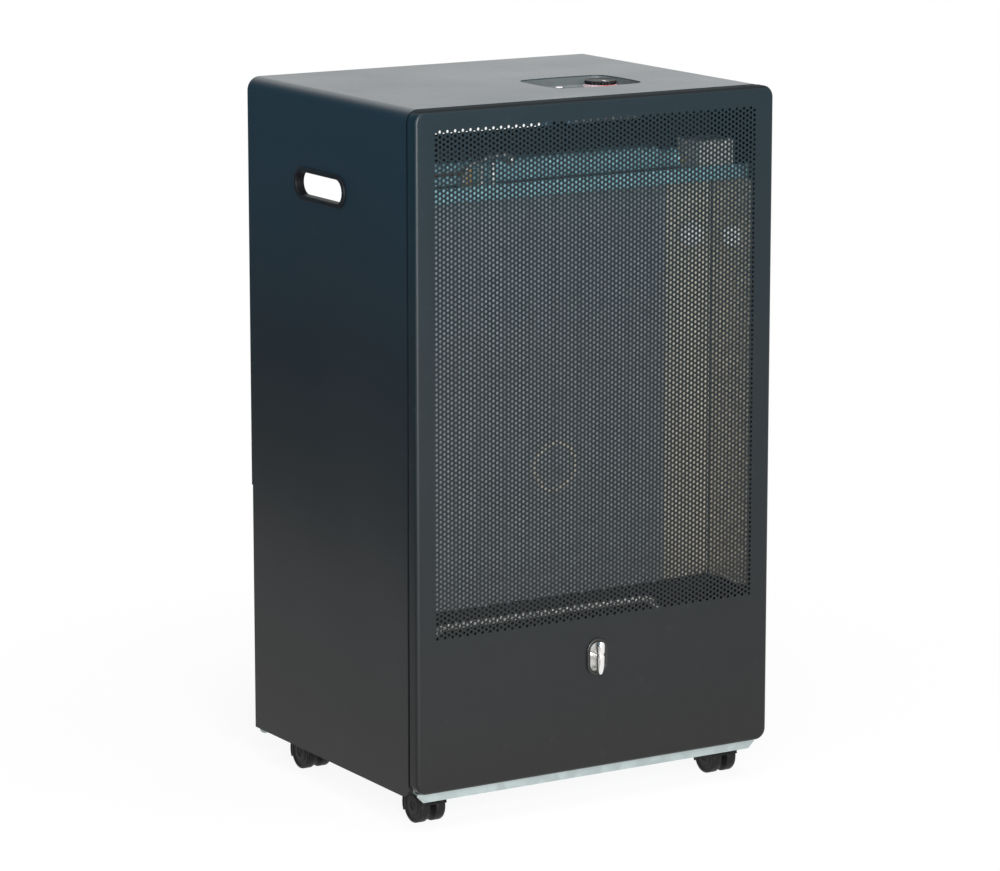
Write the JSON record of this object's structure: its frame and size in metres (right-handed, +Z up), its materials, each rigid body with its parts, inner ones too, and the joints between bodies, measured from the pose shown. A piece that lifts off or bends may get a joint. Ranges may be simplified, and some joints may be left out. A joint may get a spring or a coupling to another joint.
{
  "type": "portable gas cabinet heater",
  "caption": "Upright portable gas heater: folded steel cabinet on casters, perforated tilting front with a quarter-turn latch, side handle openings, sunken top console and open back.",
  "frame": {"origin": "on the floor under the middle of the whole heater's box", "axes": "+Z up, the perforated front faces -Y, +X is the right-hand side seen from the front"},
  "size_m": [0.424, 0.352, 0.722],
  "materials": {
    "body_paint": "satin",
    "galvanised": "satin",
    "dark_steel": "matte, heat darkened",
    "steel": "plain",
    "chrome": "polished",
    "black_plastic": "fine grain",
    "wheel": "smooth",
    "white_plastic": "glossy",
    "cast_valve": "cast",
    "brass": "machined",
    "copper": "drawn pipe",
    "lead": "matte"
  },
  "bodies": {
    "cabinet": {"cabinet_shell": "body_paint", "rear_frame": "body_paint", "hinge_lugs": "body_paint", "base_tray": "galvanised", "heat_shield": "galvanised", "side_reflector_right": "galvanised", "side_reflector_left": "galvanised", "burner_shelf": "galvanised", "lower_guard": "galvanised", "burner": "galvanised", "injector_bracket": "galvanised", "pilot_bracket": "galvanised", "latch_keeper": "galvanised", "caster_plates": "galvanised", "control_housing": "galvanised", "partition": "dark_steel", "upper_baffle": "dark_steel", "thermocouple": "steel", "ignition_electrode": "steel", "handle_insert_left": "black_plastic", "handle_insert_right": "black_plastic", "console_tray": "black_plastic", "igniter_body": "black_plastic", "gas_valve": "cast_valve", "injector": "brass", "pilot_burner": "brass", "gas_inlet": "brass", "burner_pipe": "copper", "pilot_pipe": "copper", "thermocouple_lead": "lead", "ignition_lead": "lead"},
    "rear_cover": {"rear_cover": "body_paint"},
    "front_door": {"front_panel": "body_paint", "front_grille": "body_paint", "latch_escutcheon": "chrome"},
    "latch": {"latch_knob": "chrome", "latch_cam": "steel"},
    "valve_stem": {"valve_spindle": "steel"},
    "knob": {"control_knob": "black_plastic"},
    "igniter_push": {"igniter_button": "white_plastic"},
    "caster_front_left": {"caster_hood_front_left": "black_plastic", "caster_axle_front_left": "steel"},
    "wheels_front_left": {"caster_wheels_front_left": "wheel"},
    "caster_front_right": {"caster_hood_front_right": "black_plastic", "caster_axle_front_right": "steel"},
    "wheels_front_right": {"caster_wheels_front_right": "wheel"},
    "caster_rear_left": {"caster_hood_rear_left": "black_plastic", "caster_axle_rear_left": "steel"},
    "wheels_rear_left": {"caster_wheels_rear_left": "wheel"},
    "caster_rear_right": {"caster_hood_rear_right": "black_plastic", "caster_axle_rear_right": "steel"},
    "wheels_rear_right": {"caster_wheels_rear_right": "wheel"}
  },
  "joints": [
    {"name": "front_tilt", "type": "hinge", "parent": "cabinet", "child": "front_door", "pos_m": [0, -0.1487, 0.7175], "axis": [-1, 0, 0], "range_deg": [0, 20]},
    {"name": "latch_turn", "type": "hinge", "parent": "front_door", "child": "latch", "pos_m": [0, -0.16, 0.156], "axis": [0, -1, 0], "range_deg": [0, 90]},
    {"name": "knob_turn", "type": "hinge", "parent": "cabinet", "child": "valve_stem", "pos_m": [0.087, -0.031, 0.711], "axis": [0, 0, 1], "range_deg": [0, 210]},
    {"name": "knob_press", "type": "slide", "parent": "valve_stem", "child": "knob", "axis": [0, 0, -1], "range_m": [0, 0.002], "stiffness_N_per_m": 400, "springref_m": -0.004},
    {"name": "igniter_press", "type": "slide", "parent": "cabinet", "child": "igniter_push", "axis": [0, 0, -1], "range_m": [0, 0.004], "stiffness_N_per_m": 400, "springref_m": -0.004},
    {"name": "rear_cover_lift", "type": "slide", "parent": "cabinet", "child": "rear_cover", "axis": [0, 0, 1], "range_m": [0, 0.012]},
    {"name": "swivel_front_left", "type": "hinge", "parent": "cabinet", "child": "caster_front_left", "pos_m": [-0.176, -0.108, 0.04], "axis": [0, 0, 1], "continuous": true},
    {"name": "spin_front_left", "type": "hinge", "parent": "caster_front_left", "child": "wheels_front_left", "pos_m": [-0.176, -0.12, 0.018], "axis": [1, 0, 0], "continuous": true},
    {"name": "swivel_front_right", "type": "hinge", "parent": "cabinet", "child": "caster_front_right", "pos_m": [0.176, -0.108, 0.04], "axis": [0, 0, 1], "continuous": true},
    {"name": "spin_front_right", "type": "hinge", "parent": "caster_front_right", "child": "wheels_front_right", "pos_m": [0.176, -0.12, 0.018], "axis": [1, 0, 0], "continuous": true},
    {"name": "swivel_rear_left", "type": "hinge", "parent": "cabinet", "child": "caster_rear_left", "pos_m": [-0.176, 0.126, 0.04], "axis": [0, 0, 1], "continuous": true},
    {"name": "spin_rear_left", "type": "hinge", "parent": "caster_rear_left", "child": "wheels_rear_left", "pos_m": [-0.176, 0.114, 0.018], "axis": [1, 0, 0], "continuous": true},
    {"name": "swivel_rear_right", "type": "hinge", "parent": "cabinet", "child": "caster_rear_right", "pos_m": [0.176, 0.126, 0.04], "axis": [0, 0, 1], "continuous": true},
    {"name": "spin_rear_right", "type": "hinge", "parent": "caster_rear_right", "child": "wheels_rear_right", "pos_m": [0.176, 0.114, 0.018], "axis": [1, 0, 0], "continuous": true}
  ]
}
